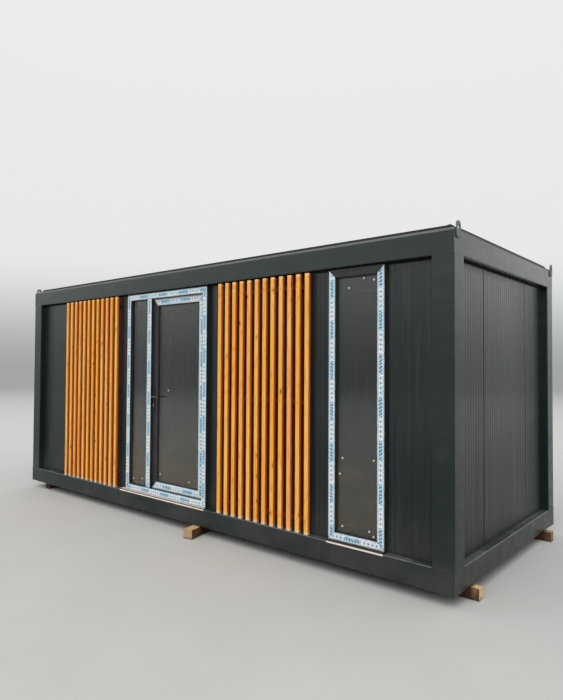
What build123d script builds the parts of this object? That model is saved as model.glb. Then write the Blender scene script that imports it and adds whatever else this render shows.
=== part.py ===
from build123d import *
import os

os.makedirs("parts", exist_ok=True)

# Steel frame. Z = 0 is the ground under the timber blocks, X runs along the cabin, -Y is the door side
cabin_length = 6000
cabin_width = 2400
frame_height = 2540
block_height = 90
rail_height = 170
post_width = 170
sheet = 4
fold_radius = 8
rail_lip = 35

# Sandwich wall panels, set back from the outer faces of the frame
wall_recess = 66
wall_thickness = 60
panel_joint = 2
end_panel_joints = (-485, 540)
back_panel_count = 6

# Floor and roof
deck_thickness = 22
joist_height = 120
joist_width = 50
joist_sheet = 3
joist_count = 9
joist_pitch = 600
ceiling_thickness = 60
roof_sheet_thickness = 12
roof_sheet_inset = 4
trim_height = 24
trim_width = 40
trim_setback = 24
trim_corner_gap = 162
cap_length = 66
cap_rise = 4
cap_crest_start = 24
cap_crest = 10
cap_foot = 3

# Stained timber slats on battens
slat_width = 42
slat_depth = 28
slat_count = 12
slat_top_gap = 12
slat_foot_gap = 2
slat_edge_radius = 3
batten_depth = 30
batten_height = 40
batten_count = 3
batten_inset = 120
batten_end_gap = 10
left_slats_x = -1616
left_slats_pitch = 97.8
right_slats_x = 1175
right_slats_pitch = 95.9

# Door unit and window: shared profile of the frames
frame_setback = 24
frame_depth = 70
frame_face = 66
lip_thickness = 27
lip_overlap = 8
leaf_gap = 9
seat_gap = 0.3
head_packer = 12
sill_thickness = 12
sill_lip = 3
sill_drop = 10
door_sill_overrun = 73
glass_thickness = 24
glass_recess = 25
sash_glass_recess = 18
glass_bite = 12
bead_chamfer = 6

door_unit_x = -210
door_unit_width = 1326
side_light_width = 300
mullion_face = 75
sash_face = 86
leaf_depth = 70

window_x = 2178.5
window_width = 519

# Lever handle, lock plates and hinges of the door
handle_height = 1322
handle_backset = 35
plate_width = 30
plate_height = 240
plate_thickness = 8
plate_corner_radius = 7.5
plate_drop = 40
cylinder_drop = 85
cylinder_radius = 9
cylinder_stand = 5
neck_radius = 9
neck_length = 44
neck_gap = 0.3
lever_length = 118
lever_height = 20
lever_depth = 11
spindle_side = 8
spindle_bore_radius = 11
hinge_count = 3
hinge_end_distance = 220
knuckle_radius = 8
knuckle_height = 30
knuckle_gap = 0.5
pin_radius = 4
pin_gap = 0.3
hinge_plate_thickness = 3
hinge_plate_width = 50
hinge_offset = 10
hinge_stand = 9

# Lifting lugs on the ends of the top rails
lug_thickness = 10
lug_radius = 32
lug_hole_radius = 19
lug_head_rise = 35
lug_hole_drop = 16
lug_tail = 53
lug_corner_radius = 16
lug_edge_distance = 59

# Timber blocks under the bottom rails
end_block_length = 270
end_block_width = 72
end_block_y = 900
end_block_stand = 66
side_block_length = 300
side_block_width = 98
side_block_x = 357
side_block_stand = 153
side_block_turn = 15
left_block_x = -2712
left_block_length = 240
left_block_setback = 66

# Places worked out from the sizes above
half_length = cabin_length / 2
half_width = cabin_width / 2
rail_depth = wall_recess + wall_thickness
rail_z = block_height
ledge_z = rail_z + rail_height
top_z = rail_z + frame_height
head_z = top_z - rail_height
clear_height = head_z - ledge_z
wall_out = half_width - wall_recess
wall_in = wall_out - wall_thickness
room_half_length = half_length - rail_depth
post_inner_x = half_length - post_width
post_inner_y = half_width - post_width

corners = [
    (end, side, sx, sy)
    for end, sx in (("left", -1), ("right", 1))
    for side, sy in (("front", -1), ("back", 1))
]

# Rails: folded channels with the web outside and two lips towards the room
rails = [
    ("front", (0, -1), half_width, cabin_length),
    ("back", (0, 1), half_width, cabin_length),
    ("left", (-1, 0), half_length, cabin_width - 2 * rail_depth),
    ("right", (1, 0), half_length, cabin_width - 2 * rail_depth),
]
for level, base in (("bottom", rail_z), ("top", head_z)):
    for side, outward, reach, length in rails:
        out = Vector(outward[0], outward[1], 0)
        section = Plane(
            origin=out * (reach - rail_depth / 2) + Vector(0, 0, base + rail_height / 2),
            x_dir=out,
            z_dir=out.cross(Vector(0, 0, 1)),
        )
        with BuildPart() as rail:
            with BuildSketch(section):
                RectangleRounded(rail_depth, rail_height, fold_radius)
                RectangleRounded(
                    rail_depth - 2 * sheet,
                    rail_height - 2 * sheet,
                    fold_radius - sheet,
                    mode=Mode.SUBTRACT,
                )
                with Locations((-rail_depth / 2, 0)):
                    Rectangle(2 * sheet, rail_height - 2 * rail_lip, mode=Mode.SUBTRACT)
            extrude(amount=length / 2, both=True)
            if length == cabin_length:
                with BuildSketch(section.offset(length / 2 - sheet)):
                    RectangleRounded(rail_depth, rail_height, fold_radius)
                extrude(amount=sheet)
                with BuildSketch(section.offset(-length / 2)):
                    RectangleRounded(rail_depth, rail_height, fold_radius)
                extrude(amount=sheet)
        rail.part.label = f"{level}_rail_{side}"
        export_step(rail.part, f"parts/{level}_rail_{side}.step")

# Corner posts: square tubes between the bottom and top rails
for end, side, sx, sy in corners:
    with BuildPart() as post:
        with BuildSketch(Plane.XY.offset(ledge_z)):
            with Locations((sx * (half_length - post_width / 2), sy * (half_width - post_width / 2))):
                RectangleRounded(post_width, post_width, fold_radius)
                RectangleRounded(
                    post_width - 2 * sheet,
                    post_width - 2 * sheet,
                    fold_radius - sheet,
                    mode=Mode.SUBTRACT,
                )
        extrude(amount=clear_height)
    post.part.label = f"corner_post_{side}_{end}"
    export_step(post.part, f"parts/corner_post_{side}_{end}.step")

# Lifting lugs: round-headed plates welded flat on the rail ends, each with an eye above the rail
lug_y = half_width - lug_edge_distance
lug_height = lug_tail + lug_head_rise
for end, sx in (("left", -1), ("right", 1)):
    lug_face = Plane(origin=(sx * half_length, 0, top_z + lug_head_rise), x_dir=(0, sx, 0), z_dir=(sx, 0, 0))
    with BuildPart() as lugs:
        with BuildSketch(lug_face):
            with Locations((-lug_y, 0), (lug_y, 0)):
                Circle(lug_radius)
            with Locations((-lug_y, -lug_height / 2), (lug_y, -lug_height / 2)):
                tails = Rectangle(2 * lug_radius, lug_height)
            fillet(tails.vertices().group_by(Axis.Y)[0], lug_corner_radius)
            with Locations((-lug_y, -lug_hole_drop), (lug_y, -lug_hole_drop)):
                Circle(lug_hole_radius, mode=Mode.SUBTRACT)
        extrude(amount=lug_thickness)
    lugs.part.label = f"lifting_lugs_{end}"
    export_step(lugs.part, f"parts/lifting_lugs_{end}.step")

# Timber blocks: two under the right end, one in the middle of each long side, two near the left end
end_block_x = half_length + end_block_stand - end_block_length / 2
side_block_y = half_width + side_block_stand - side_block_length / 2
left_block_y = half_width - left_block_setback - left_block_length / 2
with BuildPart() as support_blocks:
    with BuildSketch(Plane.XY):
        with Locations((end_block_x, -end_block_y), (end_block_x, end_block_y)):
            Rectangle(end_block_length, end_block_width)
        with Locations(Location((side_block_x, -side_block_y, 0), (0, 0, side_block_turn))):
            Rectangle(side_block_width, side_block_length)
        with Locations(Location((side_block_x, side_block_y, 0), (0, 0, -side_block_turn))):
            Rectangle(side_block_width, side_block_length)
        with Locations((left_block_x, -left_block_y), (left_block_x, left_block_y)):
            Rectangle(side_block_width, left_block_length)
    extrude(amount=block_height)
support_blocks.part.label = "support_blocks"
export_step(support_blocks.part, "parts/support_blocks.step")

# Floor: joists of folded channel between the long rails, and a deck level with the ledge
deck_z = ledge_z - deck_thickness
with BuildPart() as floor_joists:
    with BuildSketch(Plane.XZ.offset(-wall_in)):
        with Locations((0, deck_z - joist_height / 2)):
            with GridLocations(joist_pitch, 1, joist_count, 1):
                Rectangle(joist_width, joist_height)
            with Locations((joist_sheet, 0)):
                with GridLocations(joist_pitch, 1, joist_count, 1):
                    Rectangle(joist_width, joist_height - 2 * joist_sheet, mode=Mode.SUBTRACT)
    extrude(amount=2 * wall_in)
floor_joists.part.label = "floor_joists"
export_step(floor_joists.part, "parts/floor_joists.step")

with BuildPart() as floor_deck:
    with BuildSketch(Plane.XY.offset(deck_z)):
        Rectangle(2 * room_half_length, 2 * wall_in)
    extrude(amount=deck_thickness)
floor_deck.part.label = "floor_deck"
export_step(floor_deck.part, "parts/floor_deck.step")

# Roof: ceiling panel between the top rails, covering sheet, edge trim set back from the rails
with BuildPart() as ceiling_panel:
    with BuildSketch(Plane.XY.offset(top_z - ceiling_thickness)):
        Rectangle(2 * room_half_length, 2 * wall_in)
    extrude(amount=ceiling_thickness)
ceiling_panel.part.label = "ceiling_panel"
export_step(ceiling_panel.part, "parts/ceiling_panel.step")

with BuildPart() as roof_sheet:
    with BuildSketch(Plane.XY.offset(top_z)):
        Rectangle(cabin_length - 2 * roof_sheet_inset, cabin_width - 2 * roof_sheet_inset)
    extrude(amount=roof_sheet_thickness)
roof_sheet.part.label = "roof_sheet"
export_step(roof_sheet.part, "parts/roof_sheet.step")

trim_z = top_z + roof_sheet_thickness
trim_x = half_length - trim_setback - trim_width / 2
trim_y = half_width - trim_setback - trim_width / 2
long_trim = cabin_length - 2 * trim_corner_gap
end_trim = cabin_width - 2 * trim_corner_gap
cap_end = half_length - roof_sheet_inset
corner_run = cap_end - cap_length - long_trim / 2
with BuildPart() as roof_trim:
    with BuildSketch(Plane.XY.offset(trim_z)):
        with Locations((corner_run / 2, -trim_y)):
            Rectangle(long_trim + corner_run, trim_width)
        with Locations((0, trim_y)):
            Rectangle(long_trim, trim_width)
        with Locations((-trim_x, 0)):
            Rectangle(trim_width, end_trim)
        with Locations((trim_x, 0)):
            Rectangle(trim_width, end_trim)
    extrude(amount=trim_height)
    with BuildSketch(Plane.XZ.offset(trim_y - trim_width / 2)):
        with BuildLine():
            Polyline(
                (cap_end - cap_length, trim_z),
                (cap_end - cap_length, trim_z + trim_height),
                (cap_end - cap_length + cap_crest_start, trim_z + trim_height + cap_rise),
                (cap_end - cap_length + cap_crest_start + cap_crest, trim_z + trim_height + cap_rise),
                (cap_end, trim_z + cap_foot),
                (cap_end, trim_z),
                close=True,
            )
        make_face()
    extrude(amount=trim_width)
roof_trim.part.label = "roof_trim"
export_step(roof_trim.part, "parts/roof_trim.step")

# Front wall, beside and between the door unit and the window, which both reach full height
door_left = door_unit_x - door_unit_width / 2
door_right = door_unit_x + door_unit_width / 2
window_left = window_x - window_width / 2
window_right = window_x + window_width / 2
front_walls = [
    ("front_wall_left", -post_inner_x, door_left),
    ("front_wall_middle", door_right, window_left),
    ("front_wall_right", window_right, post_inner_x),
]
for name, start, stop in front_walls:
    with BuildPart() as wall:
        with BuildSketch(Plane.XY.offset(ledge_z)):
            with Locations(((start + stop) / 2, -(wall_out + wall_in) / 2)):
                Rectangle(stop - start, wall_thickness)
        extrude(amount=clear_height)
    wall.part.label = name
    export_step(wall.part, f"parts/{name}.step")

# Back wall: equal panels with open joints between them
back_panel_pitch = 2 * post_inner_x / back_panel_count
with BuildPart() as back_wall:
    with BuildSketch(Plane.XY.offset(ledge_z)):
        with Locations((0, (wall_out + wall_in) / 2)):
            with GridLocations(back_panel_pitch, 1, back_panel_count, 1):
                Rectangle(back_panel_pitch - panel_joint, wall_thickness)
    extrude(amount=clear_height)
back_wall.part.label = "back_wall"
export_step(back_wall.part, "parts/back_wall.step")

# End walls: three panels each, with joints where the right-hand end shows them
end_wall_x = half_length - wall_recess - wall_thickness / 2
for end, sx in (("left", -1), ("right", 1)):
    with BuildPart() as end_wall:
        with BuildSketch(Plane.XY.offset(ledge_z)):
            with Locations((sx * end_wall_x, 0)):
                Rectangle(wall_thickness, 2 * post_inner_y)
                for joint_y in end_panel_joints:
                    with Locations((0, joint_y)):
                        Rectangle(wall_thickness, panel_joint, mode=Mode.SUBTRACT)
        extrude(amount=clear_height)
    end_wall.part.label = f"end_wall_{end}"
    export_step(end_wall.part, f"parts/end_wall_{end}.step")

# Slats: two groups of upright timbers, screwed to level battens on the wall
slat_groups = [
    ("left", left_slats_x, left_slats_pitch),
    ("right", right_slats_x, right_slats_pitch),
]
slat_height = clear_height - slat_top_gap - slat_foot_gap
batten_pitch = (clear_height - 2 * batten_inset) / (batten_count - 1)
with BuildPart() as slat_battens:
    with BuildSketch(Plane.XZ.offset(wall_out)):
        for _, centre_x, pitch in slat_groups:
            with Locations((centre_x, ledge_z + clear_height / 2)):
                with GridLocations(1, batten_pitch, 1, batten_count):
                    Rectangle((slat_count - 1) * pitch + slat_width - 2 * batten_end_gap, batten_height)
    extrude(amount=batten_depth)
slat_battens.part.label = "slat_battens"
export_step(slat_battens.part, "parts/slat_battens.step")

for side, centre_x, pitch in slat_groups:
    with BuildPart() as slats:
        with BuildSketch(Plane.XZ.offset(wall_out + batten_depth)):
            with Locations((centre_x, ledge_z + slat_foot_gap + slat_height / 2)):
                with GridLocations(pitch, 1, slat_count, 1):
                    Rectangle(slat_width, slat_height)
        extrude(amount=slat_depth)
        fillet(slats.edges().filter_by(Axis.Z).group_by(Axis.Y)[0], slat_edge_radius)
    slats.part.label = f"slats_{side}"
    export_step(slats.part, f"parts/slats_{side}.step")

# Frames of the door unit and window: outer faces, and distances out from the cabin's middle plane
unit_bottom = ledge_z + sill_thickness
unit_top = head_z - head_packer
unit_height = unit_top - unit_bottom
unit_z = (unit_bottom + unit_top) / 2
frame_out = half_width - frame_setback
frame_in = frame_out - frame_depth
lip_in = frame_out - lip_thickness
light_bottom = unit_bottom + frame_face
light_top = unit_top - frame_face
light_height = light_top - light_bottom
pane_out = frame_out - glass_recess
pane_in = pane_out - glass_thickness

# Door unit: a fixed side light, a mullion and the doorway
side_light_left = door_left + frame_face
mullion_left = side_light_left + side_light_width
mullion_right = mullion_left + mullion_face
doorway_left = mullion_right
doorway_right = door_right - frame_face
doorway_width = doorway_right - doorway_left
doorway_x = (doorway_left + doorway_right) / 2
side_light_x = side_light_left + side_light_width / 2
rebate = lip_overlap + leaf_gap
with BuildPart() as door_unit:
    with BuildSketch(Plane.XZ.offset(frame_in)):
        with Locations((door_unit_x, unit_z)):
            Rectangle(door_unit_width, unit_height)
        with Locations((side_light_x, unit_z)):
            Rectangle(side_light_width, light_height, mode=Mode.SUBTRACT)
        with Locations((doorway_x, unit_z)):
            Rectangle(
                doorway_width + 2 * rebate,
                light_height + 2 * rebate,
                mode=Mode.SUBTRACT,
            )
    extrude(amount=frame_depth - lip_thickness)
    with BuildSketch(Plane.XZ.offset(lip_in)):
        with Locations((door_unit_x, unit_z)):
            Rectangle(door_unit_width, unit_height)
        with Locations((side_light_x, unit_z)):
            Rectangle(side_light_width, light_height, mode=Mode.SUBTRACT)
        with Locations((doorway_x, unit_z)):
            Rectangle(doorway_width, light_height, mode=Mode.SUBTRACT)
    extrude(amount=lip_thickness)
    side_light_edges = (
        door_unit.edges()
        .group_by(Axis.Y)[0]
        .filter_by_position(Axis.X, side_light_left, mullion_left)
        .filter_by_position(Axis.Z, light_bottom, light_top)
    )
    chamfer(side_light_edges, bead_chamfer)
    with BuildSketch(Plane.XZ.offset(pane_in)):
        with Locations((side_light_x, unit_z)):
            Rectangle(side_light_width + 2 * glass_bite, light_height + 2 * glass_bite)
    extrude(amount=glass_thickness, mode=Mode.SUBTRACT)

# The unit is cut into its mitred members
members = [
    (
        "door_frame_head",
        [
            (door_left, unit_top),
            (door_right, unit_top),
            (door_right - frame_face, light_top),
            (door_left + frame_face, light_top),
        ],
    ),
    (
        "door_frame_threshold",
        [
            (door_left, unit_bottom),
            (door_right, unit_bottom),
            (door_right - frame_face, light_bottom),
            (door_left + frame_face, light_bottom),
        ],
    ),
    (
        "door_frame_left_jamb",
        [
            (door_left, unit_bottom),
            (door_left, unit_top),
            (door_left + frame_face, light_top),
            (door_left + frame_face, light_bottom),
        ],
    ),
    (
        "door_frame_right_jamb",
        [
            (door_right, unit_bottom),
            (door_right, unit_top),
            (door_right - frame_face, light_top),
            (door_right - frame_face, light_bottom),
        ],
    ),
    (
        "door_frame_mullion",
        [
            (mullion_left, light_bottom),
            (mullion_right, light_bottom),
            (mullion_right, light_top),
            (mullion_left, light_top),
        ],
    ),
]
for name, outline in members:
    with BuildPart() as member:
        add(door_unit.part)
        with BuildSketch(Plane.XZ.offset(frame_in)):
            with BuildLine():
                Polyline(*outline, close=True)
            make_face()
        extrude(amount=frame_depth, mode=Mode.INTERSECT)
    member.part.label = name
    export_step(member.part, f"parts/{name}.step")

# Window: one fixed light in a frame of the same profile
window_light_width = window_width - 2 * frame_face
with BuildPart() as window_frame:
    with BuildSketch(Plane.XZ.offset(frame_in)):
        with Locations((window_x, unit_z)):
            Rectangle(window_width, unit_height)
            Rectangle(window_light_width, light_height, mode=Mode.SUBTRACT)
    extrude(amount=frame_depth)
    chamfer(
        window_frame.edges()
        .group_by(Axis.Y)[0]
        .filter_by_position(Axis.Z, light_bottom, light_top),
        bead_chamfer,
    )
    with BuildSketch(Plane.XZ.offset(pane_in)):
        with Locations((window_x, unit_z)):
            Rectangle(window_light_width + 2 * glass_bite, light_height + 2 * glass_bite)
    extrude(amount=glass_thickness, mode=Mode.SUBTRACT)
window_frame.part.label = "window_frame"
export_step(window_frame.part, "parts/window_frame.step")

# Fixed panes of the side light and the window
with BuildPart() as fixed_panes:
    with BuildSketch(Plane.XZ.offset(pane_in)):
        with Locations((side_light_x, unit_z)):
            Rectangle(side_light_width + 2 * glass_bite, light_height + 2 * glass_bite)
        with Locations((window_x, unit_z)):
            Rectangle(window_light_width + 2 * glass_bite, light_height + 2 * glass_bite)
    extrude(amount=glass_thickness)
fixed_panes.part.label = "fixed_panes"
export_step(fixed_panes.part, "parts/fixed_panes.step")

# Packers over both frames and sills under them, the sills with a small lip over the rail's edge
openings = [(door_unit_x, door_unit_width), (window_x, window_width)]
with BuildPart() as head_packers:
    with BuildSketch(Plane.XZ.offset(wall_in)):
        for opening_x, opening_width in openings:
            with Locations((opening_x, head_z - head_packer / 2)):
                Rectangle(opening_width, head_packer)
    extrude(amount=wall_thickness)
head_packers.part.label = "head_packers"
export_step(head_packers.part, "parts/head_packers.step")

sill_runs = [(door_left - door_sill_overrun, door_right), (window_left, window_right)]
with BuildPart() as sills:
    with BuildSketch(Plane.XZ.offset(wall_in)):
        for opening_x, opening_width in openings:
            with Locations((opening_x, ledge_z + sill_thickness / 2)):
                Rectangle(opening_width, sill_thickness)
    extrude(amount=wall_thickness)
    with BuildSketch(Plane.XZ.offset(wall_out)):
        for start, stop in sill_runs:
            with Locations(((start + stop) / 2, ledge_z + sill_thickness / 2)):
                Rectangle(stop - start, sill_thickness)
    extrude(amount=wall_recess)
    with BuildSketch(Plane.XZ.offset(half_width)):
        for start, stop in sill_runs:
            with Locations(((start + stop) / 2, ledge_z + (sill_thickness - sill_drop) / 2)):
                Rectangle(stop - start, sill_thickness + sill_drop)
    extrude(amount=sill_lip)
sills.part.label = "sills"
export_step(sills.part, "parts/sills.step")

# Door leaf: a glazed sash that closes behind the frame's lip and opens into the room
leaf_width = doorway_width + 2 * lip_overlap
leaf_height = light_height + 2 * lip_overlap
leaf_out = lip_in - seat_gap
leaf_in = leaf_out - leaf_depth
leaf_light_width = leaf_width - 2 * sash_face
leaf_light_height = leaf_height - 2 * sash_face
leaf_pane_out = leaf_out - sash_glass_recess
leaf_pane_in = leaf_pane_out - glass_thickness
handle_x = doorway_left - lip_overlap + handle_backset
with BuildPart() as door_leaf:
    with BuildSketch(Plane.XZ.offset(leaf_in)):
        with Locations((doorway_x, unit_z)):
            Rectangle(leaf_width, leaf_height)
            Rectangle(leaf_light_width, leaf_light_height, mode=Mode.SUBTRACT)
        with Locations((handle_x, handle_height)):
            Circle(spindle_bore_radius, mode=Mode.SUBTRACT)
    extrude(amount=leaf_depth)
    leaf_light_left = doorway_x - leaf_light_width / 2
    chamfer(
        door_leaf.edges()
        .group_by(Axis.Y)[0]
        .filter_by_position(Axis.X, leaf_light_left, leaf_light_left + leaf_light_width)
        .filter_by_position(Axis.Z, unit_z - leaf_light_height / 2, unit_z + leaf_light_height / 2),
        bead_chamfer,
    )
    with BuildSketch(Plane.XZ.offset(leaf_pane_in)):
        with Locations((doorway_x, unit_z)):
            Rectangle(leaf_light_width + 2 * glass_bite, leaf_light_height + 2 * glass_bite)
    extrude(amount=glass_thickness, mode=Mode.SUBTRACT)
door_leaf.part.label = "door_leaf"
export_step(door_leaf.part, "parts/door_leaf.step")

with BuildPart() as door_pane:
    with BuildSketch(Plane.XZ.offset(leaf_pane_in)):
        with Locations((doorway_x, unit_z)):
            Rectangle(leaf_light_width + 2 * glass_bite, leaf_light_height + 2 * glass_bite)
    extrude(amount=glass_thickness)
door_pane.part.label = "door_pane"
export_step(door_pane.part, "parts/door_pane.step")

# Lock plates on both faces of the leaf, with the stub of the lock cylinder below the lever
plate_z = handle_height - plate_drop
with BuildPart() as lock_plates:
    for face, reach in ((leaf_out, plate_thickness), (leaf_in, -plate_thickness)):
        with BuildSketch(Plane.XZ.offset(face)):
            with Locations((handle_x, plate_z)):
                RectangleRounded(plate_width, plate_height, plate_corner_radius)
            with Locations((handle_x, handle_height)):
                Circle(neck_radius + neck_gap, mode=Mode.SUBTRACT)
        extrude(amount=reach)
        with BuildSketch(Plane.XZ.offset(face + reach)):
            with Locations((handle_x, handle_height - cylinder_drop)):
                Circle(cylinder_radius)
        extrude(amount=cylinder_stand if reach > 0 else -cylinder_stand)
lock_plates.part.label = "lock_plates"
export_step(lock_plates.part, "parts/lock_plates.step")

# Lever handle: two levers on necks, joined through the leaf by the square spindle
with BuildPart() as door_handle:
    with BuildSketch(Plane.XZ.offset(leaf_in)):
        with Locations((handle_x, handle_height)):
            Rectangle(spindle_side, spindle_side)
    extrude(amount=leaf_depth)
    for face, way in ((leaf_out, 1), (leaf_in, -1)):
        with BuildSketch(Plane.XZ.offset(face)):
            with Locations((handle_x, handle_height)):
                Circle(neck_radius)
        extrude(amount=way * neck_length)
        with BuildSketch(Plane.XZ.offset(face + way * (neck_length - lever_depth))):
            with Locations((handle_x + lever_length / 2 - lever_height / 2, handle_height)):
                SlotOverall(lever_length, lever_height)
        extrude(amount=way * lever_depth)
door_handle.part.label = "door_handle"
export_step(door_handle.part, "parts/door_handle.step")

# Hinges inside the room: a middle knuckle on the leaf, a pin and two knuckles on the frame
hinge_x = doorway_right + lip_overlap + hinge_offset
hinge_out = leaf_in - hinge_stand
hinge_pitch = (leaf_height - 2 * hinge_end_distance) / (hinge_count - 1)
hinge_heights = [
    unit_z - leaf_height / 2 + hinge_end_distance + i * hinge_pitch for i in range(hinge_count)
]
with BuildPart() as hinge_leaf_halves:
    for height in hinge_heights:
        with BuildSketch(Plane.XY.offset(height - knuckle_height / 2)):
            with Locations((hinge_x, -hinge_out)):
                Circle(knuckle_radius)
            with Locations((hinge_x - hinge_plate_width / 2, -(leaf_in - hinge_plate_thickness / 2))):
                Rectangle(hinge_plate_width, hinge_plate_thickness)
            with Locations((hinge_x, -hinge_out)):
                Circle(pin_radius + pin_gap, mode=Mode.SUBTRACT)
        extrude(amount=knuckle_height)
hinge_leaf_halves.part.label = "hinge_leaf_halves"
export_step(hinge_leaf_halves.part, "parts/hinge_leaf_halves.step")

knuckle_step = knuckle_height + knuckle_gap
pin_length = knuckle_height + 2 * knuckle_step
with BuildPart() as hinge_frame_halves:
    for height in hinge_heights:
        with BuildSketch(Plane.XY.offset(height - pin_length / 2)):
            with Locations((hinge_x, -hinge_out)):
                Circle(pin_radius)
        extrude(amount=pin_length)
        for step in (-knuckle_step, knuckle_step):
            with BuildSketch(Plane.XY.offset(height + step - knuckle_height / 2)):
                with Locations((hinge_x, -hinge_out)):
                    Circle(knuckle_radius)
                with Locations((hinge_x + knuckle_radius, -(hinge_out + frame_in) / 2)):
                    Rectangle(2 * knuckle_radius, frame_in - hinge_out)
            extrude(amount=knuckle_height)
hinge_frame_halves.part.label = "hinge_frame_halves"
export_step(hinge_frame_halves.part, "parts/hinge_frame_halves.step")
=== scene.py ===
import bmesh
import bpy
import math
from functools import partialmethod
from mathutils import Matrix, Vector, noise


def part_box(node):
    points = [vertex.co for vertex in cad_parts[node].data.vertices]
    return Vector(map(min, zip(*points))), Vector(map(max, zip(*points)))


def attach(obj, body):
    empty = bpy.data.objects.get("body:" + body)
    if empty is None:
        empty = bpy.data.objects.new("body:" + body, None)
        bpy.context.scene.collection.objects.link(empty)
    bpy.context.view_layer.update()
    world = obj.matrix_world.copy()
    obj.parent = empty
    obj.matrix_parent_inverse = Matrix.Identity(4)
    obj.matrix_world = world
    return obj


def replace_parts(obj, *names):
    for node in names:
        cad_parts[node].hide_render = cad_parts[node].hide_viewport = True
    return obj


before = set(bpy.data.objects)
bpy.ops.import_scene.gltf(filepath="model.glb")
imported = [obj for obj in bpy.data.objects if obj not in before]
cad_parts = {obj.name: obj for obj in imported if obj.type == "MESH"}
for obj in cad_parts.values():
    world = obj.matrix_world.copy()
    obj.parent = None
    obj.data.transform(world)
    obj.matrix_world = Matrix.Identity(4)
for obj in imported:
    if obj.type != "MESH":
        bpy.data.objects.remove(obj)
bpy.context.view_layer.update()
scene = bpy.context.scene

# The camera, in metres and radians: where it stands, the way it looks, and the photograph's field
camera_place = (4.6208, -4.9645, 1.6814)
camera_turn = 0.7021
camera_rise = 0.0249
camera_roll = 0.0054
camera_lens = 29.23

# Sizes of the dressing pieces, in metres
profile_face = 0.066
sash_face = 0.086
sash_cover = 0.008
film_thickness = 0.0003
film_lift = 0.0004
film_gap = 0.003
film_step = 0.02
film_waver = 0.0022
film_puff = 0.0016
film_print_pitch = 0.330
glass_bite = 0.012
pane_thickness = 0.004
spacer_width = 0.0085
spacer_inset = 0.002
gasket_width = 0.006
gasket_height = 0.004
screw_radius = 0.0038
slat_count = 12
slat_width = 0.042
batten_height = 0.040
lug_width = 0.064
rib_pitch = 0.050
rib_half_width = 0.007
rib_depth = 0.0011
panel_chamfer = 0.006
panel_joint = 0.002
back_panel_count = 6
end_joints = (-0.485, 0.540)
lug_weld_top = 2.624
room_half_length = 2.8755
room_half_width = 1.0755
pad_radius = 0.008
pad_thickness = 0.003
plate_thickness = 0.008

# How much clear gloss lies over the cabin's paint, above and where the road splashes it
paint_coat = 0.85
splashed_coat = 0.28

# Tones that several finishes share
anthracite = (0.0095, 0.0170, 0.0175)
panel_shade = (0.0090, 0.0155, 0.0150)
# The room's inner lining is kept dark: painted shade for the dim room inside
lining = (0.050, 0.052, 0.050)
# Dark red-brown painted on the sheet behind the slats: a painted glow of light bounced off the orange slats
slat_bounce_tone = (0.085, 0.0150, 0.0030)
horizon_tone = (0.37, 0.383, 0.382)

left_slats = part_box("slats_left")
right_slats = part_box("slats_right")


def slat_pitch(slats):
    return (slats[1].x - slats[0].x - slat_width) / (slat_count - 1)


def settle(thing, **settings):
    for key, value in settings.items():
        setattr(thing, key, value)
    return thing


# Node trees


class Value:
    """A value in a node tree: arithmetic and comparisons on it add nodes to the tree."""

    def __init__(self, nodes, socket):
        self.nodes, self.socket = nodes, socket

    def calc(self, operation, other=0.0):
        return self.nodes.calc(operation, self, other)

    __add__ = partialmethod(calc, "ADD")
    __sub__ = partialmethod(calc, "SUBTRACT")
    __mul__ = partialmethod(calc, "MULTIPLY")
    __truediv__ = partialmethod(calc, "DIVIDE")
    __gt__ = partialmethod(calc, "GREATER_THAN")
    __lt__ = partialmethod(calc, "LESS_THAN")
    __abs__ = partialmethod(calc, "ABSOLUTE")

    def __rsub__(self, other):
        return self.nodes.calc("SUBTRACT", other, self)

    def clamped(self):
        """Keeps the result of the last sum between 0 and 1."""
        self.socket.node.use_clamp = True
        return self

    def ease(self, low, high):
        inputs = {"Value": self, "From Min": low, "From Max": high}
        return self.nodes.out("MapRange", inputs, interpolation_type="SMOOTHSTEP")

    def between(self, low, high, blur):
        return self.ease(low - blur, low + blur) * self.ease(high + blur, high - blur)


class Nodes:
    """A node tree with short ways to add to it. A kind of node is given in full, or without the family's name."""
    family = "ShaderNode"

    def __init__(self, tree):
        self.tree = tree

    def feed(self, socket, value):
        """Links a value to a socket, or sets the socket. Colours come without their alpha."""
        if isinstance(value, Value):
            value = value.socket
        if isinstance(value, bpy.types.NodeSocket):
            self.tree.links.new(value, socket)
        else:
            socket.default_value = (*value, 1) if socket.type == "RGBA" else value

    def put(self, kind, inputs=None, **settings):
        node = settle(self.tree.nodes.new(kind if "Node" in kind else self.family + kind), **settings)
        for key, value in (inputs or {}).items():
            self.feed(node.inputs[key], value)
        return node

    def out(self, kind, inputs=None, output=0, **settings):
        return Value(self, self.put(kind, inputs, **settings).outputs[output])

    def calc(self, operation, a, b):
        return self.out("ShaderNodeMath", {0: a, 1: b}, operation=operation)

    def split(self, vector, kind="SeparateXYZ"):
        return [Value(self, socket) for socket in self.put(kind, {0: vector}).outputs]

    def blend(self, factor, a, b):
        return self.out("Mix", {0: factor, 6: a, 7: b}, 2, data_type="RGBA")

    def layers(self, base, *coats):
        """Lays coats over a base. Each is (mask, share, tone)."""
        for mask, share, tone in coats:
            base = self.blend(mask * share, base, tone)
        return base


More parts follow.
